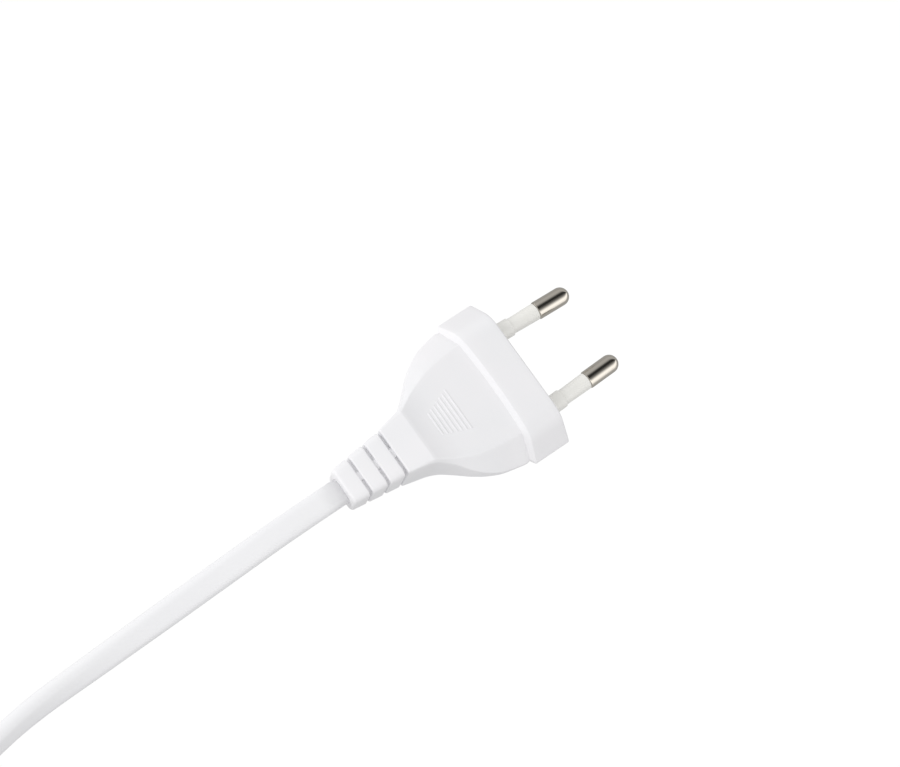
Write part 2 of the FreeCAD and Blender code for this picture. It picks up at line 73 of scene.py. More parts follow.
class Pole(Enum):
    """The two cores of the lead, by the colour and the darker shade of their insulation."""

    BROWN = ("#5A3018", "#4E2914")
    BLUE = ("#2F62A8", "#285896")

    @property
    def label(self) -> str:
        """Return the word that the pole's pieces begin with."""
        return self.name.lower()


# Colour and node helpers


def linear(hex_colour: str) -> tuple[float, float, float, float]:
    """Turn an sRGB hex colour into the linear colour that a shader socket takes.

    Args:
        hex_colour: Six hex digits with a leading hash sign.

    Returns:
        Red, green, blue and an alpha of one.
    """
    channels = [int(hex_colour[i : i + 2], 16) / 255 for i in (1, 3, 5)]
    made = [c / 12.92 if c <= 0.04045 else ((c + 0.055) / 1.055) ** 2.4 for c in channels]
    return (made[0], made[1], made[2], 1.0)


def add_node(
    tree: bpy.types.NodeTree,
    kind: str,
    inputs: dict[str | int, object] | None = None,
    **settings: object,
) -> bpy.types.Node:
    """Add one node with its settings, and set or link its inputs.

    Args:
        tree: The node tree that gets the node.
        kind: Blender's name of the node type.
        inputs: Input name or number to a value, or to the output socket that feeds it.
        settings: Properties of the node itself.

    Returns:
        The new node.
    """
    node = tree.nodes.new(kind)
    for name, value in settings.items():
        setattr(node, name, value)
    for key, value in (inputs or {}).items():
        if isinstance(value, bpy.types.NodeSocket):
            tree.links.new(value, node.inputs[key])
        else:
            node.inputs[key].default_value = value
    return node


def new_material(name: str) -> tuple[bpy.types.Material, bpy.types.NodeTree]:
    """Make an empty node material.

    Args:
        name: Name of the material.

    Returns:
        The material and its node tree.
    """
    material = bpy.data.materials.new(name)
    material.use_nodes = True
    material.node_tree.nodes.clear()
    return material, material.node_tree


def scaled_place(tree: bpy.types.NodeTree, stretch: tuple[float, float, float]) -> bpy.types.NodeSocket:
    """Read the object's own coordinates, scaled along its axes.

    Args:
        tree: The node tree.
        stretch: Scale along each axis, where less than one draws a pattern out.

    Returns:
        The socket with the coordinates.
    """
    place = add_node(tree, "ShaderNodeTexCoord")
    mapping = add_node(tree, "ShaderNodeMapping", {"Vector": place.outputs["Object"], "Scale": stretch})
    return mapping.outputs["Vector"]


# Finishes


@dataclass(frozen=True)
class SatinPlastic:
    """Moulded or extruded plastic: an opaque satin skin with a fine grain and a slight drift in tone.

    The mould's real grain is well under 0.1 mm wide, too fine to show, so it is drawn coarser.
    """

    name: str
    colour: str
    shade: str
    roughness: float = 0.42
    grain_mm: float = 0.22
    grain_depth_mm: float = 0.004
    flow_mm: float = 14.0
    ior: float = 1.53
    stretch: tuple[float, float, float] = (1.0, 1.0, 1.0)

    def build(self) -> bpy.types.Material:
        """Make the material: flow in the colour, grain in the bump and the roughness.

        Returns:
            The plastic.
        """
        material, tree = new_material(self.name)
        place = scaled_place(tree, self.stretch)
        grain = add_node(
            tree, "ShaderNodeTexNoise",
            {"Vector": place, "Scale": 1 / (self.grain_mm * MM), "Detail": 3.0, "Roughness": 0.6},
        )
        rough = add_node(
            tree, "ShaderNodeMapRange",
            {"Value": grain.outputs["Fac"], "From Min": 0.3, "From Max": 0.7,
             "To Min": self.roughness - 0.04, "To Max": self.roughness + 0.05},
        )
        bump = add_node(
            tree, "ShaderNodeBump",
            {"Height": grain.outputs["Fac"], "Distance": self.grain_depth_mm * MM, "Strength": 0.6},
        )
        shader = add_node(
            tree, "ShaderNodeBsdfPrincipled",
            {"Base Color": self._tint(tree, place), "Roughness": rough.outputs["Result"], "IOR": self.ior,
             "Normal": bump.outputs["Normal"]},
        )
        add_node(tree, "ShaderNodeOutputMaterial", {"Surface": shader.outputs["BSDF"]})
        return material

    def _tint(self, tree: bpy.types.NodeTree, place: bpy.types.NodeSocket) -> bpy.types.NodeSocket:
        """Let the colour drift between the two tones of the batch.

        Args:
            tree: The material's node tree.
            place: The coordinates that the drift follows.

        Returns:
            The socket with the colour.
        """
        flow = add_node(
            tree, "ShaderNodeTexNoise",
            {"Vector": place, "Scale": 1 / (self.flow_mm * MM), "Detail": 2.0, "Roughness": 0.5},
        )
        ramp = add_node(tree, "ShaderNodeValToRGB", {"Fac": flow.outputs["Fac"]})
        tones = ((0.35, self.shade), (0.65, self.colour))
        for stop, (position, tone) in zip(ramp.color_ramp.elements, tones):
            stop.position = position
            stop.color = linear(tone)
        return ramp.outputs["Color"]


@dataclass(frozen=True)
class MouldedPvc(SatinPlastic):
    """Flexible white PVC from a spark-eroded mould: soft and even, with a broad dull shine."""

    name: str = "white_moulded_pvc"
    colour: str = "#F2F1F3"
    shade: str = "#EFEFF1"


@dataclass(frozen=True)
class ExtrudedPvc(SatinPlastic):
    """White PVC extruded round the lead: a little smoother, with its grain drawn out along the lead."""

    name: str = "white_extruded_pvc"
    colour: str = "#F4F4F5"
    shade: str = "#F1F1F3"
    roughness: float = 0.38
    grain_mm: float = 0.3
    stretch: tuple[float, float, float] = (0.2, 1.0, 1.0)


@dataclass(frozen=True)
class SleevePolyamide(SatinPlastic):
    """Polyamide moulded over the pin: hard and smooth, faintly ivory beside the white body."""

    name: str = "ivory_polyamide"
    colour: str = "#F3F2EE"
    shade: str = "#F0EFEA"
    roughness: float = 0.34
    grain_mm: float = 0.5
    grain_depth_mm: float = 0.0015
    flow_mm: float = 5.0


@dataclass(frozen=True)
class BridgePolypropylene(SatinPlastic):
    """Natural grey polypropylene, moulded and never seen in use: plain and a little duller."""

    name: str = "grey_polypropylene"
    colour: str = "#C9C9C6"
    shade: str = "#BFBFBC"
    roughness: float = 0.45


@dataclass(frozen=True)
class StripPlastic(SatinPlastic):
    """Thin rolled plastic strip: smoother and slightly greyer than the lead that it holds."""

    name: str = "white_strip_plastic"
    colour: str = "#DADADA"
    shade: str = "#D2D2D2"
    roughness: float = 0.3


@dataclass(frozen=True)
class CorePvc(SatinPlastic):
    """Coloured PVC extruded round a core: a strong even colour and a smooth shine."""

    roughness: float = 0.35


@dataclass(frozen=True)
class NickelPlate:
    """Bright nickel on turned brass: a slightly warm grey mirror with fine turning rings.

    The real rings are a few hundredths of a millimetre apart, too close to show, and drawn wider.
    """

    name: str = "bright_nickel_plate"
    colour: str = "#D2CCC2"
    roughness: float = 0.09
    ring_mm: float = 0.16
    ring_depth_mm: float = 0.0006
    haze_mm: float = 2.5

    def build(self) -> bpy.types.Material:
        """Make the material: rings round the pin's axis and a faint uneven haze.

        Returns:
            The plated metal.
        """
        material, tree = new_material(self.name)
        rings = add_node(
            tree, "ShaderNodeTexNoise",
            {"Vector": scaled_place(tree, (1.0, 0.02, 0.02)), "Scale": 1 / (self.ring_mm * MM),
             "Detail": 2.0, "Roughness": 0.6},
        )
        haze = add_node(
            tree, "ShaderNodeTexNoise",
            {"Vector": scaled_place(tree, (1.0, 1.0, 1.0)), "Scale": 1 / (self.haze_mm * MM), "Detail": 4.0},
        )
        rough = add_node(
            tree, "ShaderNodeMapRange",
            {"Value": haze.outputs["Fac"], "From Min": 0.35, "From Max": 0.7,
             "To Min": self.roughness - 0.03, "To Max": self.roughness + 0.06},
        )
        bump = add_node(
            tree, "ShaderNodeBump",
            {"Height": rings.outputs["Fac"], "Distance": self.ring_depth_mm * MM, "Strength": 0.5},
        )
        shader = add_node(
            tree, "ShaderNodeBsdfPrincipled",
            {"Base Color": linear(self.colour), "Metallic": 1.0, "Roughness": rough.outputs["Result"],
             "Normal": bump.outputs["Normal"]},
        )
        add_node(tree, "ShaderNodeOutputMaterial", {"Surface": shader.outputs["BSDF"]})
        return material


@dataclass(frozen=True)
class DrawnCopper:
    """Bare drawn copper strand: a reddish, half-dull metal with fine lines along it.

    The die leaves finer lines than would show, so they are drawn wider apart.
    """

    name: str = "bare_copper"
    colour: str = "#C77B58"
    roughness: float = 0.3
    line_mm: float = 0.2
    line_depth_mm: float = 0.01

    def build(self) -> bpy.types.Material:
        """Make the material, with fine lines in its roughness and bump.

        Returns:
            The metal.
        """
        material, tree = new_material(self.name)
        lines = add_node(
            tree, "ShaderNodeTexNoise",
            {"Vector": scaled_place(tree, (0.1, 1.0, 1.0)), "Scale": 1 / (self.line_mm * MM), "Detail": 3.0},
        )
        rough = add_node(
            tree, "ShaderNodeMapRange",
            {"Value": lines.outputs["Fac"], "To Min": self.roughness - 0.08, "To Max": self.roughness + 0.1},
        )
        bump = add_node(
            tree, "ShaderNodeBump",
            {"Height": lines.outputs["Fac"], "Distance": self.line_depth_mm * MM, "Strength": 0.4},
        )
        shader = add_node(
            tree, "ShaderNodeBsdfPrincipled",
            {"Base Color": linear(self.colour), "Metallic": 1.0, "Roughness": rough.outputs["Result"],
             "Normal": bump.outputs["Normal"]},
        )
        add_node(tree, "ShaderNodeOutputMaterial", {"Surface": shader.outputs["BSDF"]})
        return material


@dataclass(frozen=True)
class TinnedCopper(DrawnCopper):
    """Tinned copper of the crimped end sleeves: pale grey and a little brighter."""

    name: str = "tinned_copper"
    colour: str = "#C9C8C4"
    roughness: float = 0.26


# Shape helpers


def rectangle(half_width: float, half_height: float) -> Outline:
    """Return the corners of an upright rectangle round the origin, anticlockwise."""
    return [(y * half_width, z * half_height) for y, z in ((1, 1), (-1, 1), (-1, -1), (1, -1))]


def rim(radius: float) -> Outline:
    """Return the steps of a round rim: how far each lies from the end, and how far it is drawn in."""
    turn = [math.radians(angle) for angle in range(0, 91, 15)]
    return [(radius * (1 - math.cos(a)), radius * (1 - math.sin(a))) for a in turn]


def rounded_outline(corners: Outline, radii: Sequence[float], arc_steps: int, run_steps: int) -> Outline:
    """Round the corners of a closed outline, with the same number of points whatever its size.

    Args:
        corners: Corners of the outline, in order.
        radii: Rounding radius at each corner.
        arc_steps: Points added along each corner's arc.
        run_steps: Points added along each straight run.

    Returns:
        The points of the rounded outline.
    """
    count = len(corners)
    arcs: list[list[Vector]] = []
    for index in range(count):
        corner = Vector(corners[index])
        back = Vector(corners[index - 1]) - corner
        ahead = Vector(corners[(index + 1) % count]) - corner
        half = back.angle(ahead) / 2
        # Two arcs never meet on one side, however short it is.
        limit = 0.48 * min(back.length, ahead.length) * math.tan(half)
        radius = min(radii[index], limit)
        back.normalize()
        ahead.normalize()
        bisector = (back + ahead).normalized()
        centre = corner + bisector * (radius / math.sin(half))
        start = corner + back * (radius / math.tan(half)) - centre
        turn = math.pi - 2 * half
        sign = 1.0 if start.y * back.x - start.x * back.y > 0 else -1.0
        arc = []
        for step in range(arc_steps + 1):
            angle = sign * turn * step / arc_steps
            spun = Vector((
                start.x * math.cos(angle) - start.y * math.sin(angle),
                start.x * math.sin(angle) + start.y * math.cos(angle),
            ))
            arc.append(centre + spun)
        arcs.append(arc)
    points: Outline = []
    for index, arc in enumerate(arcs):
        points.extend((p.x, p.y) for p in arc)
        end, start = arc[-1], arcs[(index + 1) % count][0]
        for step in range(1, run_steps):
            p = end.lerp(start, step / run_steps)
            points.append((p.x, p.y))
    return points


def inset(corners: Outline, distance: float) -> Outline:
    """Move every side of a convex outline inwards by the same distance.

    Args:
        corners: Corners of the outline, anticlockwise.
        distance: How far the sides move in.

    Returns:
        The corners of the smaller outline.
    """
    moved: Outline = []
    count = len(corners)
    for index, (x, y) in enumerate(corners):
        before = Vector((x, y)) - Vector(corners[index - 1])
        after = Vector(corners[(index + 1) % count]) - Vector((x, y))
        inward_a = Vector((-before.y, before.x)).normalized()
        inward_b = Vector((-after.y, after.x)).normalized()
        push = (inward_a + inward_b) / (1 + inward_a.dot(inward_b)) * distance
        moved.append((x + push.x, y + push.y))
    return moved


def smooth_step(value: float, low: float, high: float) -> float:
    """Return a smooth rise from 0 at low to 1 at high."""
    share = min(1.0, max(0.0, (value - low) / (high - low)))
    return share * share * (3 - 2 * share)


def smooth_mix(value: float, low: float, high: float) -> float:
    """Return a rise from 0 at low to 1 at high that is nearly straight, with soft ends."""
    share = min(1.0, max(0.0, (value - low) / (high - low)))
    return 0.6 * share + 0.4 * smooth_step(value, low, high)


def soft_ramp(value: float, low: float, high: float, softness: float) -> float:
    """Read a straight rise from 0 to 1 whose two corners are rounded.

    Args:
        value: Where to read.
        low: Where the straight rise starts.
        high: Where it ends.
        softness: How far each corner's rounding reaches to both sides.

    Returns:
        The height, from 0 to 1.
    """
    def bend(offset: float) -> float:
        """Return a rise that starts gently at an offset of zero."""
        gentle = (offset + softness) ** 2 / (4 * softness)
        return gentle if abs(offset) < softness else max(0.0, offset)

    steepness = 1 / (high - low)
    return min(1.0, max(0.0, steepness * (bend(value - low) - bend(value - high))))


def between(stations: Sequence[tuple[float, ...]], place: float, column: int) -> float:
    """Read a column of a short table of stations with a smooth curve through them.

    Args:
        stations: Rows that begin with their place, in rising order.
        place: Where to read.
        column: Which column to read.

    Returns:
        The value on the curve.
    """
    last = len(stations) - 1
    place = min(stations[last][0], max(stations[0][0], place))
    index = max(i for i in range(last) if stations[i][0] <= place)

    def rise(i: int) -> float:
        """Return how steeply the column climbs after a station."""
        return (stations[i + 1][column] - stations[i][column]) / (stations[i + 1][0] - stations[i][0])

    def slope(i: int) -> float:
        """Return the curve's slope at a station, level at the first and at each turn."""
        before, after = rise(max(0, i - 1)), rise(min(i, last - 1))
        return 0.0 if i == 0 or before * after <= 0 else 2 * before * after / (before + after)

    x0, x1 = stations[index][0], stations[index + 1][0]
    y0, y1 = stations[index][column], stations[index + 1][column]
    step = x1 - x0
    t = (place - x0) / step
    # How much each station's height and slope count on a cubic curve between the two.
    h00 = (1 + 2 * t) * (1 - t) ** 2
    h10 = t * (1 - t) ** 2
    h01 = t * t * (3 - 2 * t)
    h11 = t * t * (t - 1)
    return h00 * y0 + h10 * step * slope(index) + h01 * y1 + h11 * step * slope(index + 1)


def spread(low: float, high: float, step: float) -> list[float]:
    """Return even places from low to high, both included, no further apart than a step."""
    count = max(1, math.ceil((high - low) / step))
    return [low + (high - low) * i / count for i in range(count + 1)]


def loft(mesh: bmesh.types.BMesh, rings: Sequence[Ring]) -> None:
    """Join rings of points with quads, and close both ends.

    Args:
        mesh: The mesh that gets the surface.
        rings: Rings with the same number of points each.
    """
    made = [[mesh.verts.new(p) for p in ring] for ring in rings]
    for first, second in zip(made, made[1:]):
        count = len(first)
        for i in range(count):
            j = (i + 1) % count
            mesh.faces.new((first[i], first[j], second[j], second[i]))
    mesh.faces.new(tuple(reversed(made[0])))
    mesh.faces.new(tuple(made[-1]))


def finished_piece(mesh: bmesh.types.BMesh, name: str, finish: bpy.types.Material) -> bpy.types.Object:
    """Turn a built mesh into a smooth object that rides on the part.

    Args:
        mesh: The mesh, which is freed.
        name: Name of the piece.
        finish: Its material.

    Returns:
        The new object.
    """
    bmesh.ops.recalc_face_normals(mesh, faces=mesh.faces[:])
    for face in mesh.faces:
        face.smooth = True
    data = bpy.data.meshes.new(name)
    mesh.to_mesh(data)
    mesh.free()
    data.materials.append(finish)
    piece = bpy.data.objects.new(name, data)
    bpy.context.scene.collection.objects.link(piece)
    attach(piece, ROOT_BODY)
    LOG.info("%s: %d faces", name, len(data.polygons))
    return piece


# The moulding


@dataclass
class PlugSizes:
    """Main sizes of the plug in millimetres, the same as in the CAD source."""

    face_x: float = 13.25
    half_thickness: float = 6.85
    half_width: float = 17.65
    face_flat: float = 12.4
    neck_front: float = 27.4
    relief_end: float = 45.5
    neck_half_width: float = 6.0
    end_half_width: float = 4.2
    end_half_thickness: float = 4.0
    panel: float = 5.6

    def place(self, depth: float, y: float, z: float) -> Vector:
        """Return the point at a depth behind the face, in the row frame and in metres."""
        return Vector((self.face_x - depth, y, self.half_thickness + z)) * MM

    def bar_ring(
        self, depth: float, half: tuple[float, float], radius: float, steps: tuple[int, int],
    ) -> Ring:
        """Return one ring of a bar with rounded edges, by its half width and half height."""
        outline = rounded_outline(rectangle(*half), [radius] * 4, *steps)
        return [self.place(depth, y, z) for y, z in outline]

    def taper(self, depth: float) -> tuple[float, float]:
        """Work out how the neck and the strain relief get slimmer.

        Args:
            depth: How far behind the engagement face.

        Returns:
            The half width and the half thickness there.
        """
        share = (depth - self.neck_front) / (self.relief_end - self.neck_front)
        width = self.neck_half_width + share * (self.end_half_width - self.neck_half_width)
        thickness = self.half_thickness + share * (self.end_half_thickness - self.half_thickness)
        return width, thickness


@dataclass
class Moulding:
    """The one-piece body: flange, grip with sunk panels, neck and ribbed strain relief.

    Depths are counted from the engagement face backwards.
    """

    sizes: PlugSizes
    finish: SatinPlastic = MouldedPvc()
    front_radius: float = 0.45
    vertex_radius: float = 0.7
    flange_corner_radius: float = 5.5
    flange_inset: float = 0.05
    flange_wall: float = 0.3
    band_start: float = 7.95
    band_end: float = 8.25
    band_softness: float = 0.42
    hollow: float = 1.0
    hollow_fade: tuple[float, float, float, float] = (2.5, 7.0, 9.0, 14.0)
    panel_radius: float = 1.1
    panel_sharper: float = 0.5
    panel_blend: tuple[float, float] = (19.0, 25.0)
    side_sharper: float = 0.2
    side_blend: tuple[float, float] = (16.0, 24.0)
    neck_side_rounder: float = 0.5
    neck_blend: tuple[float, float] = (26.5, 32.5)
    cove_radius: float = 17.0
    neck_edge_softness: float = 0.3
    first_gap: float = 33.25
    gap_width: float = 0.66
    gap_pitch: float = 4.0
    gap_count: int = 3
    rib_edge: float = 0.28
    relief_radius: float = 1.5
    end_rounding: float = 0.6
    slot_depth: tuple[float, float] = (0.8, 1.15)
    web_half_width: float = 1.05
    web_recess: float = 0.6
    web_edge: float = 0.3
    web_overlap: float = 0.4
    # The rings lie closest from just before the flange's step to just behind it, and round the cove's end.
    band_margins: tuple[float, float] = (0.4, 0.5)
    cove_rings: tuple[float, float] = (24.0, 29.0)
    ring_steps: tuple[float, ...] = (1.2, 0.06, 0.5, 0.12, 0.4)
    stations: list[tuple[float, ...]] = field(default_factory=lambda: [
        # depth, half width, half height of the side wall, half width of the panel
        (8.3, 16.3, 0.45, 11.1),
        (9.1, 16.5, 0.45, 11.2),
        (12.0, 16.15, 0.5, 11.0),
        (15.5, 15.4, 0.8, 10.6),
        (18.5, 13.9, 1.5, 10.0),
        (21.0, 12.0, 2.5, 9.1),
        (23.6, 9.4, 4.1, 8.0),
        (25.8, 7.6, 4.9, 6.9),
        (27.4, 6.7, 5.8, 6.05),
        (30.0, 6.05, 5.8, 5.75),
        (33.25, 5.4, 5.3, 5.15),
    ])

    def octagon(self, depth: float) -> tuple[Outline, list[float]]:
        """Work out the eight-cornered section, from the flange through the grip to the neck.

        Args:
            depth: Where the section lies.

        Returns:
            Its corners and their rounding radii.
        """
        flange = self._corners(
            self.sizes.half_width - self.flange_inset, self.flange_wall,
            self.sizes.face_flat, self.sizes.half_thickness,
        )
        width, wall, flat = (between(self.stations, depth, column) for column in (1, 2, 3))
        grip = self._corners(width, wall, flat, self._top(depth))
        share = soft_ramp(depth, self.band_start, self.band_end, self.band_softness)
        corners = [
            (fy + (gy - fy) * share, fz + (gz - fz) * share)
            for (fy, fz), (gy, gz) in zip(flange, grip)
        ]
        neck = smooth_step(depth, *self.neck_blend)
        upper = self.flange_corner_radius + share * (self.panel_radius - self.flange_corner_radius)
        upper += neck * (self.relief_radius - self.panel_radius)
        upper -= self.panel_sharper * smooth_step(depth, *self.panel_blend) * (1 - neck)
        side = self.vertex_radius - smooth_step(depth, *self.side_blend) * self.side_sharper
        side += neck * self.neck_side_rounder
        return corners, [side, upper, upper, side] * 2

    @staticmethod
    def _corners(half_width: float, wall: float, flat: float, top: float) -> Outline:
        """Mirror one quarter of the section into all four.

        Args:
            half_width: Half of the section's width.
            wall: Half height of its side walls.
            flat: Half width of its flat top.
            top: Half of its thickness.

        Returns:
            The eight corners, anticlockwise from the side wall at +Y.
        """
        quarter = [(half_width, wall), (flat, top)]
        corners = list(quarter)
        corners += [(-y, z) for y, z in reversed(quarter)]
        corners += [(-y, -z) for y, z in quarter]
        corners += [(y, -z) for y, z in reversed(quarter)]
        return corners

    def _top(self, depth: float) -> float:
        """Follow the sunk panel, the cove up to the neck and the sloping neck.

        Args:
            depth: Where to read, behind the flange.

        Returns:
            The half thickness there.
        """
        sizes = self.sizes
        rise = sizes.half_thickness - sizes.panel
        length = math.sqrt(2 * self.cove_radius * rise - rise * rise)
        start = sizes.neck_front - length
        if depth <= start:
            return sizes.panel
        cove = sizes.panel + self.cove_radius
        if depth <= sizes.neck_front:
            cove -= math.sqrt(max(0.0, self.cove_radius**2 - (depth - start) ** 2))
        else:
            cove = sizes.half_thickness + (depth - sizes.neck_front)
        slope = sizes.taper(depth)[1]
        softness = self.neck_edge_softness
        gap = (cove - slope) / softness
        if gap < -1:
            return cove
        if gap > 1:
            return slope
        # Where the two nearly meet, a parabola rounds the edge between them.
        return (cove + slope) / 2 - softness * (0.25 + gap * gap / 4)

    def body_rings(self) -> list[Ring]:
        """Lay the body's rings from the engagement face to the first gap.

        Returns:
            The rings, closest together where the surface bends most.
        """
        stops = [
            self.front_radius, self.band_start - self.band_margins[0],
            self.band_end + self.band_margins[1], *self.cove_rings, self.first_gap - self.rib_edge,
        ]
        places = [(0.0, self.front_radius + more) for more in (0.35, 0.1)]
        places += rim(self.front_radius)
        for low, high, step in zip(stops, stops[1:], self.ring_steps):
            places += [(depth, 0.0) for depth in spread(low, high, step)[1:]]
        places += [(self.first_gap - away, pull) for away, pull in rim(self.rib_edge)[-2::-1]]
        places.append((self.first_gap, self.rib_edge + 0.2))
        return [self._body_ring(depth, pull) for depth, pull in places]

    def _body_ring(self, depth: float, pull: float) -> Ring:
        """Make one ring of the body.

        Args:
            depth: Where it lies in the middle; the flange's hollow back takes its sides further.
            pull: How far its outline is drawn in, for a rounded rim.

        Returns:
            The ring's points.
        """
        corners, radii = self.octagon(depth)
        outline = rounded_outline(inset(corners, pull), [max(0.05, r - pull) for r in radii], 6, 6)
        fade_in, full, fade_out, gone = self.hollow_fade
        fade = smooth_step(depth, fade_in, full) * (1 - smooth_step(depth, fade_out, gone))
        ring = []
        for y, z in outline:
            lag = self.hollow * fade * (y / self.sizes.half_width) ** 2
            ring.append(self.sizes.place(depth + lag, y, z))
        return ring

    def _rib_ring(self, depth: float, pull: float) -> Ring:
        """Return one ring of a rib, drawn in by some way for a rounded rim."""
        width, thickness = (size - pull for size in self.sizes.taper(depth))
        return self.sizes.bar_ring(depth, (width, thickness), max(0.1, self.relief_radius - pull), (8, 6))

    def rib_rings(self, start: float, end: float, end_rounding: float) -> list[Ring]:
        """Lay the rings of one rib.

        Args:
            start: Depth of its front.
            end: Depth of its back.
            end_rounding: Radius of its back rim.

        Returns:
            The rings, from front to back.
        """
        places = [(start, self.rib_edge + 0.3)]
        places += [(start + away, pull) for away, pull in rim(self.rib_edge)]
        places += [(end - away, pull) for away, pull in rim(end_rounding)[::-1]]
        places.append((end, end_rounding + 0.2))
        return [self._rib_ring(depth, pull) for depth, pull in places]

    def add_relief(self, mesh: bmesh.types.BMesh) -> None:
        """Add the ribs, the tube round the lead between them and the webs that tie them.

        Args:
            mesh: The moulding's mesh.
        """
        for index in range(self.gap_count):
            start = self.first_gap + self.gap_width + index * self.gap_pitch
            last = index == self.gap_count - 1
            end = self.sizes.relief_end if last else start + self.gap_pitch - self.gap_width
            loft(mesh, self.rib_rings(start, end, self.end_rounding if last else self.rib_edge))
            self._add_web(mesh, start - self.gap_width)
        tube_end = self.first_gap + self.gap_count * self.gap_pitch
        loft(mesh, [self._tube_ring(depth) for depth in spread(self.first_gap - 0.5, tube_end, 1.5)])

    def _tube_ring(self, depth: float) -> Ring:
        """Return one ring of the tube that shows at the bottom of the gaps."""
        width, thickness = (size - deep for size, deep in zip(self.sizes.taper(depth), self.slot_depth))
        return self.sizes.bar_ring(depth, (width, thickness), self.relief_radius, (6, 3))

    def _add_web(self, mesh: bmesh.types.BMesh, depth: float) -> None:
        """Add the upper and lower web across one gap, with softened edges.

        Args:
            mesh: The moulding's mesh.
            depth: Where the gap begins.
        """
        half = self.web_half_width, self.sizes.taper(depth + self.gap_width)[1] - self.web_recess
        places = spread(depth - self.web_overlap, depth + self.gap_width + self.web_overlap, self.web_overlap)
        loft(mesh, [self.sizes.bar_ring(place, half, self.web_edge, (4, 3)) for place in places])

    def build(self) -> bpy.types.Object:
        """Build the moulding with its grip lines.

        Returns:
            The piece.
        """
        mesh = bmesh.new()
        loft(mesh, self.body_rings())
        self.add_relief(mesh)
        GripLines(self.sizes, self._top).add(mesh)
        piece = finished_piece(mesh, "moulded_body", self.finish.build())
        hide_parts("overmould_body")
        return piece


@dataclass
class GripLines:
    """Seven fine raised lines on each panel, shorter towards the neck."""

    sizes: PlugSizes
    surface: Callable[[float], float]
    count: int = 7
    first: float = 17.05
    pitch: float = 0.96
    longest: float = 5.05
    shortest: float = 2.85
    radius: float = 0.38
    height: float = 0.14
    around: int = 12

    def add(self, mesh: bmesh.types.BMesh) -> None:
        """Add the lines of both panels.

        Args:
            mesh: The moulding's mesh.
        """
        for index in range(self.count):
            share = index / (self.count - 1)
            half_length = self.longest + share * (self.shortest - self.longest)
            depth = self.first + index * self.pitch
            for panel in (-1, 1):
                z = panel * (self.surface(depth) + self.height - self.radius)
                self._add_line(mesh, depth, half_length, z)

    def _add_line(self, mesh: bmesh.types.BMesh, depth: float, half_length: float, z: float) -> None:
        """Add one line as a slim bar with round ends.

        Args:
            mesh: The moulding's mesh.
            depth: Where the line lies.
            half_length: Half of its length.
            z: Height of its axis over the middle of the plug.
        """
        rings = []
        for angle in range(-80, 81, 20):
            reach = half_length - self.radius + self.radius * abs(math.sin(math.radians(angle)))
            y = math.copysign(reach, angle) if angle else 0.0
            radius = self.radius * (math.cos(math.radians(angle)) if angle else 1.0)
            rings.append([
                self.sizes.place(depth + radius * math.cos(a), y, z + radius * math.sin(a))
                for a in (math.tau * i / self.around for i in range(self.around))
            ])
        loft(mesh, rings)


# Pins and sleeves


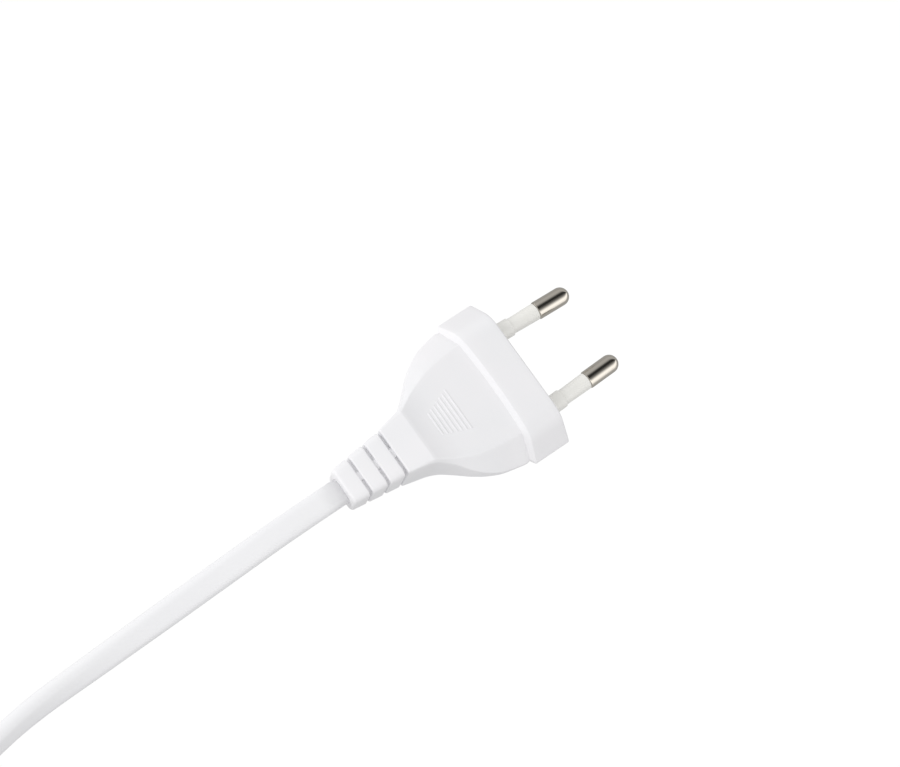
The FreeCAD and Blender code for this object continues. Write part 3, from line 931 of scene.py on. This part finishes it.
@dataclass
class PinPair:
    """Two leaning pins, each with its insulating sleeve."""

    sizes: PlugSizes
    spacing_at_face: float = 18.8
    spacing_at_tips: float = 17.5
    length: float = 19.0
    radius: float = 2.0
    sleeve_reach: float = 10.8
    shank_radius: float = 1.5
    around: int = 64

    def axis(self, side: Side) -> Matrix:
        """Work out how a pin stands in the face.

        Args:
            side: Which pin.

        Returns:
            The matrix that turns a shape made along X onto the pin's axis.
        """
        lean = math.atan((self.spacing_at_face - self.spacing_at_tips) / 2 / self.length)
        foot = self.sizes.place(0.0, side.value * self.spacing_at_face / 2, 0.0)
        return Matrix.Translation(foot) @ Matrix.Rotation(-side.value * lean, 4, "Z")

    def turned(self, outline: Outline, side: Side, name: str, finish: bpy.types.Material) -> bpy.types.Object:
        """Turn an outline of places along the pin and radii into a piece.

        Args:
            outline: Pairs of place and radius in millimetres.
            side: Which pin it belongs to.
            name: Name of the piece.
            finish: Its material.

        Returns:
            The turned piece on its axis.
        """
        mesh = bmesh.new()
        frame = self.axis(side)
        rings = []
        for along, radius in outline:
            ring = []
            for index in range(self.around):
                angle = math.tau * index / self.around
                local = Vector((along, radius * math.cos(angle), radius * math.sin(angle))) * MM
                ring.append(frame @ local)
            rings.append(ring)
        loft(mesh, rings)
        return finished_piece(mesh, name, finish)

    def pin_outline(self) -> Outline:
        """Draw the pin: crimp barrel, anchor ring, shank in the sleeve, bare end and round tip.

        Returns:
            Pairs of place from the face and radius.
        """
        shank = self.shank_radius
        # The barrel and the anchor ring: back, front, radius, inner edge of the back, and bevel.
        collars = ((-15.0, -9.0, 1.7, 1.2, 0.04), (-5.2, -3.6, 2.2, shank, 0.05))
        outline: Outline = []
        for back, front, radius, inner, bevel in collars:
            outline += [
                (back, inner), (back, radius - bevel), (back + 0.05, radius),
                (front - 0.05, radius), (front, radius - bevel), (front, shank),
            ]
        # The bare end widens over a short shoulder.
        start = self.sleeve_reach
        outline += [
            (start + 0.02, shank), (start + 0.02, 1.8), (start + 0.05, 1.86), (start + 0.14, 1.95),
            (start + 0.24, self.radius), (start + 0.4, self.radius),
        ]
        tip = self.length - self.radius
        outline += [(place, self.radius) for place in spread(start + 0.4, tip, 1.5)[1:]]
        for angle in (math.radians(a) for a in range(6, 90, 6)):
            outline.append((tip + self.radius * math.sin(angle), self.radius * math.cos(angle)))
        outline.append((self.length - 0.002, 0.06))
        return outline

    @staticmethod
    def sleeve_outline() -> Outline:
        """Draw the sleeve: collar, soft step, and a swelling towards the metal.

        Returns:
            Pairs of place from the face and radius.
        """
        return [
            (-2.0, 1.55), (-2.0, 2.01), (-1.0, 2.01), (3.95, 2.01), (4.08, 2.0), (4.16, 1.95),
            (4.24, 1.85), (4.32, 1.77), (4.45, 1.74), (5.2, 1.74), (6.5, 1.77), (9.2, 1.82),
            (10.2, 1.83), (10.55, 1.83), (10.68, 1.82), (10.76, 1.79), (10.79, 1.72), (10.8, 1.6),
        ]

    def build(self) -> None:
        """Build both pins and both sleeves."""
        metal, plastic = NickelPlate().build(), SleevePolyamide().build()
        for side in Side:
            label = side.name.lower()
            pin = self.turned(self.pin_outline(), side, label + "_plated_pin", metal)
            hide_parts(label + "_pin")
            sleeve = self.turned(self.sleeve_outline(), side, label + "_moulded_sleeve", plastic)
            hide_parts(label + "_pin_sleeve")


# The lead


@dataclass
class Lead:
    """The flat twin lead: down from the strain relief, along the surface and into its hank."""

    sizes: PlugSizes
    width: float = 5.7
    thickness: float = 3.4
    length_m: float = 1.476
    columns: int = 2
    layers: int = 3
    column_pitch: float = 4.0
    fold_radius: float = 17.1
    straight: float = 58.3
    run_in: float = 0.12
    near_fold_x: float = -174.0
    entry_y: float = -14.3
    tie_thickness: float = 0.5
    far_end_room: float = 28.0
    fold_steps: int = 6
    twist_start: float = 14.0
    twist_end: float = 118.0
    section_steps: int = 12

    def route(self) -> list[Vector]:
        """Lead the line from the strain relief down to the surface and to the hank.

        Returns:
            The control points in metres.
        """
        half = self.sizes.half_thickness
        exit_x = self.sizes.face_x - self.sizes.relief_end
        on_edge = self.width / 2
        first = self.tie_thickness + on_edge
        points = [
            (exit_x, 0.0, half),
            (-46.0, 0.0, half),
            (-66.0, -0.45, 4.3),
            (-90.0, -1.1, 2.35),
            (-112.0, -2.0, on_edge),
            (-130.0, -7.0, on_edge),
            (-147.5, self.entry_y, first),
            (-159.0, self.entry_y, first),
        ]
        return [Vector(p) * MM for p in points]

    def hank(self) -> list[Vector]:
        """Wind the turns, from the outer one inwards and back, layer by layer.

        Returns:
            The control points in metres.
        """
        outer = self.fold_radius + (self.columns - 1) * self.column_pitch
        columns = [outer - self.column_pitch * i for i in range(self.columns)]
        radii: list[float] = []
        for layer in range(self.layers):
            radii += columns if layer % 2 == 0 else columns[::-1]
        levels = [
            self.tie_thickness + self.width * (0.5 + turn // self.columns) for turn in range(len(radii))
        ]
        centre_y = self.entry_y + outer
        far_fold_x = self.near_fold_x - self.straight
        step = math.pi / self.fold_steps
        points: list[Vector] = []
        for turn, (radius, level) in enumerate(zip(radii, levels)):
            last = turn == len(radii) - 1
            for share in (self.run_in, 0.5, 1 - self.run_in):
                points.append(Vector((self.near_fold_x - share * self.straight, centre_y - radius, level)))
            for index in range(self.fold_steps):
                angle = -math.pi / 2 - step * (index + 0.5)
                points.append(self._on_fold(far_fold_x, centre_y, radius / math.cos(step / 2), angle, level))
            run_in = self.run_in * self.straight
            way_back = self.straight - (self.far_end_room if last else run_in)
            for along in (run_in, 0.5 * way_back, way_back):
                points.append(Vector((far_fold_x + along, centre_y + radius, level)))
            if last:
                break
            for index in range(self.fold_steps):
                along = (index + 0.5) / self.fold_steps
                share = smooth_step(along, 0.0, 1.0)
                wide = (radius + share * (radii[turn + 1] - radius)) / math.cos(step / 2)
                high = level + share * (levels[turn + 1] - level)
                angle = math.pi / 2 - math.pi * along
                points.append(self._on_fold(self.near_fold_x, centre_y, wide, angle, high))
        return [p * MM for p in points]

    @staticmethod
    def _on_fold(x: float, y: float, radius: float, angle: float, level: float) -> Vector:
        """Return a point of a fold, by its angle round the fold's centre."""
        return Vector((x + radius * math.cos(angle), y + radius * math.sin(angle), level))

    def centre_line(self) -> list[Vector]:
        """Run a smooth spline along the control points.

        Returns:
            Points read from the spline, in metres.
        """
        data = bpy.data.curves.new("lead_route", "CURVE")
        data.dimensions = "3D"
        data.resolution_u = 5
        points = self.route() + self.hank()
        spline = data.splines.new("NURBS")
        spline.points.add(len(points) - 1)
        for target, point in zip(spline.points, points):
            target.co = (*point, 1.0)
        spline.order_u = 3
        spline.use_endpoint_u = True
        carrier = bpy.data.objects.new("lead_route", data)
        line = bpy.data.meshes.new_from_object(carrier)
        read = [v.co.copy() for v in line.vertices]
        bpy.data.objects.remove(carrier)
        bpy.data.curves.remove(data)
        bpy.data.meshes.remove(line)
        return read

    def section(self) -> Outline:
        """Draw the flat section: two half circles joined by straight sides.

        Returns:
            Its points across the lead and over it.
        """
        radius = self.thickness / 2
        flat = (self.width - self.thickness) / 2
        outline: Outline = []
        for start, centre in ((-90.0, flat), (90.0, -flat)):
            for step in range(self.section_steps + 1):
                angle = math.radians(start + 180.0 * step / self.section_steps)
                outline.append((centre + radius * math.cos(angle), radius * math.sin(angle)))
        return outline

    def build(self) -> bpy.types.Object:
        """Returns:
            The piece.
        """
        line = self.centre_line()
        mesh = bmesh.new()
        rings = []
        gone = 0.0
        for index, point in enumerate(line):
            before, after = line[max(0, index - 1)], line[min(len(line) - 1, index + 1)]
            along = (after - before).normalized()
            if index:
                gone += (point - line[index - 1]).length / MM
            level_side = along.cross(Vector((0, 0, 1))).normalized()
            up = level_side.cross(along).normalized()
            turn = math.radians(90.0 * smooth_mix(gone, self.twist_start, self.twist_end))
            across = level_side * math.cos(turn) + up * math.sin(turn)
            over = up * math.cos(turn) - level_side * math.sin(turn)
            rings.append([point + (across * a + over * b) * MM for a, b in self.section()])
        loft(mesh, rings)
        piece = finished_piece(mesh, "flat_twin_lead", ExtrudedPvc().build())
        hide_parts("lead_run", "lead_hank")
        ends = ["lead_tie"]
        ends += [pole.label + tail for pole in Pole for tail in ("_core_end", "_end_sleeve")]
        LOG.info("lead line: %.1f mm", gone)
        return piece


def dress_inner_pieces() -> None:
    """Give the CAD pieces that stay their own finishes."""
    copper, tin = DrawnCopper().build(), TinnedCopper().build()
    wanted = {
        "pin_bridge": BridgePolypropylene().build(),
        "sheath_in_relief": bpy.data.materials[ExtrudedPvc().name],
        "lead_tie": StripPlastic().build(),
    }
    for pole in Pole:
        insulation = CorePvc(pole.label + "_core_pvc", *pole.value).build()
        wanted[pole.label + "_core_insulation"] = insulation
        wanted[pole.label + "_core_end"] = insulation
        wanted[pole.label + "_conductor"] = copper
        wanted[pole.label + "_end_sleeve"] = tin
    for node, finish in wanted.items():
        for place in bpy.data.objects[node].material_slots:
            place.material = finish
        LOG.info("%s: dressed in %s", node, finish.name)


# The studio


@dataclass
class Studio:
    """White tabletop, soft surround, one large soft light and the long lens above."""

    aim: tuple[float, float, float] = (-0.39, 6.19, 6.85)
    distance: float = 497.0
    azimuth: float = -153.25
    elevation: float = 71.38
    roll: float = 28.75
    lens: float = 96.35
    sensor: float = 36.0
    clip_m: tuple[float, float] = (0.01, 20.0)
    surround: tuple[float, float] = (1.04, 0.71)
    floor_half_m: float = 1.5
    floor_shown: float = 1.02
    floor_mirrored: tuple[float, float] = (0.48, 1.0)
    floor_bounce: tuple[float, float] = (0.62, 0.85)
    lit_left_m: tuple[float, float] = (0.0, 0.008)
    lit_behind_m: tuple[float, float] = (0.012, 0.004)
    far_right_m: tuple[float, float] = (-0.02, -0.08)
    far_floor: float = 0.4
    key_place_m: tuple[float, float, float] = (-0.55, 0.4, 0.45)
    key_size_m: float = 0.5
    key_power: float = 1.6

    def build(self) -> None:
        """Set up the camera, the surface, the surround and the light."""
        self._camera()
        self._surface()
        self._surround()
        self._key_light()
        bpy.context.scene.view_settings.view_transform = "Standard"
        bpy.context.scene.view_settings.look = "None"

    def _camera(self) -> None:
        """Place the camera on its sphere round the aim point, and roll it."""
        azimuth, elevation = math.radians(self.azimuth), math.radians(self.elevation)
        away = Vector((
            math.cos(elevation) * math.cos(azimuth),
            math.cos(elevation) * math.sin(azimuth),
            math.sin(elevation),
        ))
        data = bpy.data.cameras.new("long_lens")
        data.lens = self.lens
        data.sensor_width = self.sensor
        data.clip_start, data.clip_end = self.clip_m
        camera = bpy.data.objects.new("long_lens", data)
        level = away.to_track_quat("Z", "Y").to_matrix().to_4x4()
        roll = Matrix.Rotation(math.radians(self.roll), 4, "Z")
        place = Matrix.Translation((Vector(self.aim) + away * self.distance) * MM)
        camera.matrix_world = place @ level @ roll
        bpy.context.scene.collection.objects.link(camera)
        bpy.context.scene.camera = camera

    def _surface(self) -> None:
        """Lay the lit white surface, which shows no shadow, as in the photograph.

        It glows instead of taking light, so all its brightness is painted light. The pieces see it darker
        than the camera does, with painted shade on the right of the plug and towards the pins, and brighter
        on the left of the grip and the lead, where the light comes from, and far away on the right.
        """
        mesh = bmesh.new()
        bmesh.ops.create_grid(mesh, x_segments=2, y_segments=2, size=self.floor_half_m)
        data = bpy.data.meshes.new("white_surface")
        mesh.to_mesh(data)
        mesh.free()
        surface = bpy.data.objects.new("white_surface", data)
        bpy.context.scene.collection.objects.link(surface)
        material, tree = new_material("white_surface")
        ray = add_node(tree, "ShaderNodeLightPath")
        place = add_node(tree, "ShaderNodeTexCoord")
        parts = add_node(tree, "ShaderNodeSeparateXYZ", {"Vector": place.outputs["Object"]})
        left, behind, far = (
            add_node(
                tree, "ShaderNodeMapRange",
                {"Value": parts.outputs[axis], "From Min": start, "From Max": end, "To Max": top},
            ).outputs["Result"]
            for axis, (start, end), top in (
                ("Y", self.lit_left_m, 1.0), ("X", self.lit_behind_m, 1.0),
                ("Y", self.far_right_m, self.far_floor),
            )
        )
        # Painted shade on the surface: dark on the right of the plug and towards the pins, light on its left
        # and behind it.
        lit = add_node(tree, "ShaderNodeMath", {0: left, 1: behind}, operation="MULTIPLY")
        near, bounce = (
            add_node(
                tree, "ShaderNodeMapRange", {"Value": lit.outputs["Value"], "To Min": dark, "To Max": bright},
            ).outputs["Result"]
            for dark, bright in (self.floor_mirrored, self.floor_bounce)
        )
        mirrored = add_node(tree, "ShaderNodeMath", {0: near, 1: far}, operation="ADD")
        unseen = add_node(
            tree, "ShaderNodeMapRange",
            {"Value": ray.outputs["Is Glossy Ray"], "To Min": bounce, "To Max": mirrored.outputs["Value"]},
        )
        level = add_node(
            tree, "ShaderNodeMapRange",
            {"Value": ray.outputs["Is Camera Ray"], "To Min": unseen.outputs["Result"],
             "To Max": self.floor_shown},
        )
        # The surface's glow is painted light: even white for the camera, painted shade and light for the
        # pieces.
        glow = add_node(
            tree, "ShaderNodeEmission", {"Color": linear("#FFFFFF"), "Strength": level.outputs["Result"]},
        )
        add_node(tree, "ShaderNodeOutputMaterial", {"Surface": glow.outputs["Emission"]})
        data.materials.append(material)

    def _surround(self) -> None:
        """Fill the room with soft white light, and stripe it for the bright metal.

        The stripe runs along the pins: a dark flag on the left of the zenith and a bright panel on
        its right, as the plated metal shows them.
        """
        world = bpy.data.worlds.new("white_room")
        world.use_nodes = True
        bpy.context.scene.world = world
        tree = world.node_tree
        tree.nodes.clear()
        place = add_node(tree, "ShaderNodeTexCoord")
        parts = add_node(tree, "ShaderNodeSeparateXYZ", {"Vector": place.outputs["Generated"]})
        tilt = add_node(
            tree, "ShaderNodeMath", {0: parts.outputs["Y"], 1: parts.outputs["Z"]}, operation="ARCTAN2",
        )
        share = add_node(
            tree, "ShaderNodeMapRange",
            {"Value": tilt.outputs["Value"], "From Min": -math.pi / 2, "From Max": math.pi / 2},
        )
        ramp = add_node(tree, "ShaderNodeValToRGB", {"Fac": share.outputs["Result"]})
        # Place from the right horizon over the zenith to the left one, and brightness.
        stops = [
            (0.0, 1.2), (0.076, 1.42), (0.153, 1.62), (0.215, 1.52), (0.262, 1.2), (0.298, 0.86),
            (0.367, 0.36), (0.436, 0.16), (0.506, 0.045), (0.576, 0.02), (0.648, 0.09), (0.69, 0.28),
            (0.723, 0.42), (0.803, 0.57), (0.891, 0.58), (1.0, 0.5),
        ]
        for index, (position, level) in enumerate(stops):
            stop = ramp.color_ramp.elements[index] if index < 2 else ramp.color_ramp.elements.new(position)
            stop.position = position
            stop.color = (level, level, level, 1.0)
        shiny = add_node(tree, "ShaderNodeLightPath")
        plain = add_node(
            tree, "ShaderNodeMapRange",
            {"Value": parts.outputs["X"], "From Min": -1.0, "From Max": 1.0,
             "To Min": self.surround[0], "To Max": self.surround[1]},
        )
        colour = add_node(
            tree, "ShaderNodeMixRGB",
            {"Fac": shiny.outputs["Is Glossy Ray"], "Color1": plain.outputs["Result"],
             "Color2": ramp.outputs["Color"]},
        )
        light = add_node(tree, "ShaderNodeBackground", {"Color": colour.outputs["Color"], "Strength": 1.0})
        add_node(tree, "ShaderNodeOutputWorld", {"Surface": light.outputs["Background"]})

    def _key_light(self) -> None:
        """Hang one large soft square light that looks at the plug, and that the metal doesn't mirror."""
        data = bpy.data.lights.new("soft_key", "AREA")
        data.size = self.key_size_m
        data.energy = self.key_power
        light = bpy.data.objects.new("soft_key", data)
        light.visible_glossy = False
        place = Vector(self.key_place_m)
        light.matrix_world = Matrix.Translation(place) @ place.to_track_quat("Z", "Y").to_matrix().to_4x4()
        bpy.context.scene.collection.objects.link(light)


def main() -> None:
    """Load the frame, build every piece and set the studio."""
    logging.basicConfig(level=logging.INFO, format="%(name)s %(message)s")
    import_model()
    sizes = PlugSizes()
    Moulding(sizes).build()
    PinPair(sizes).build()
    Lead(sizes).build()
    dress_inner_pieces()
    Studio().build()


if __name__ == "__main__":
    main()
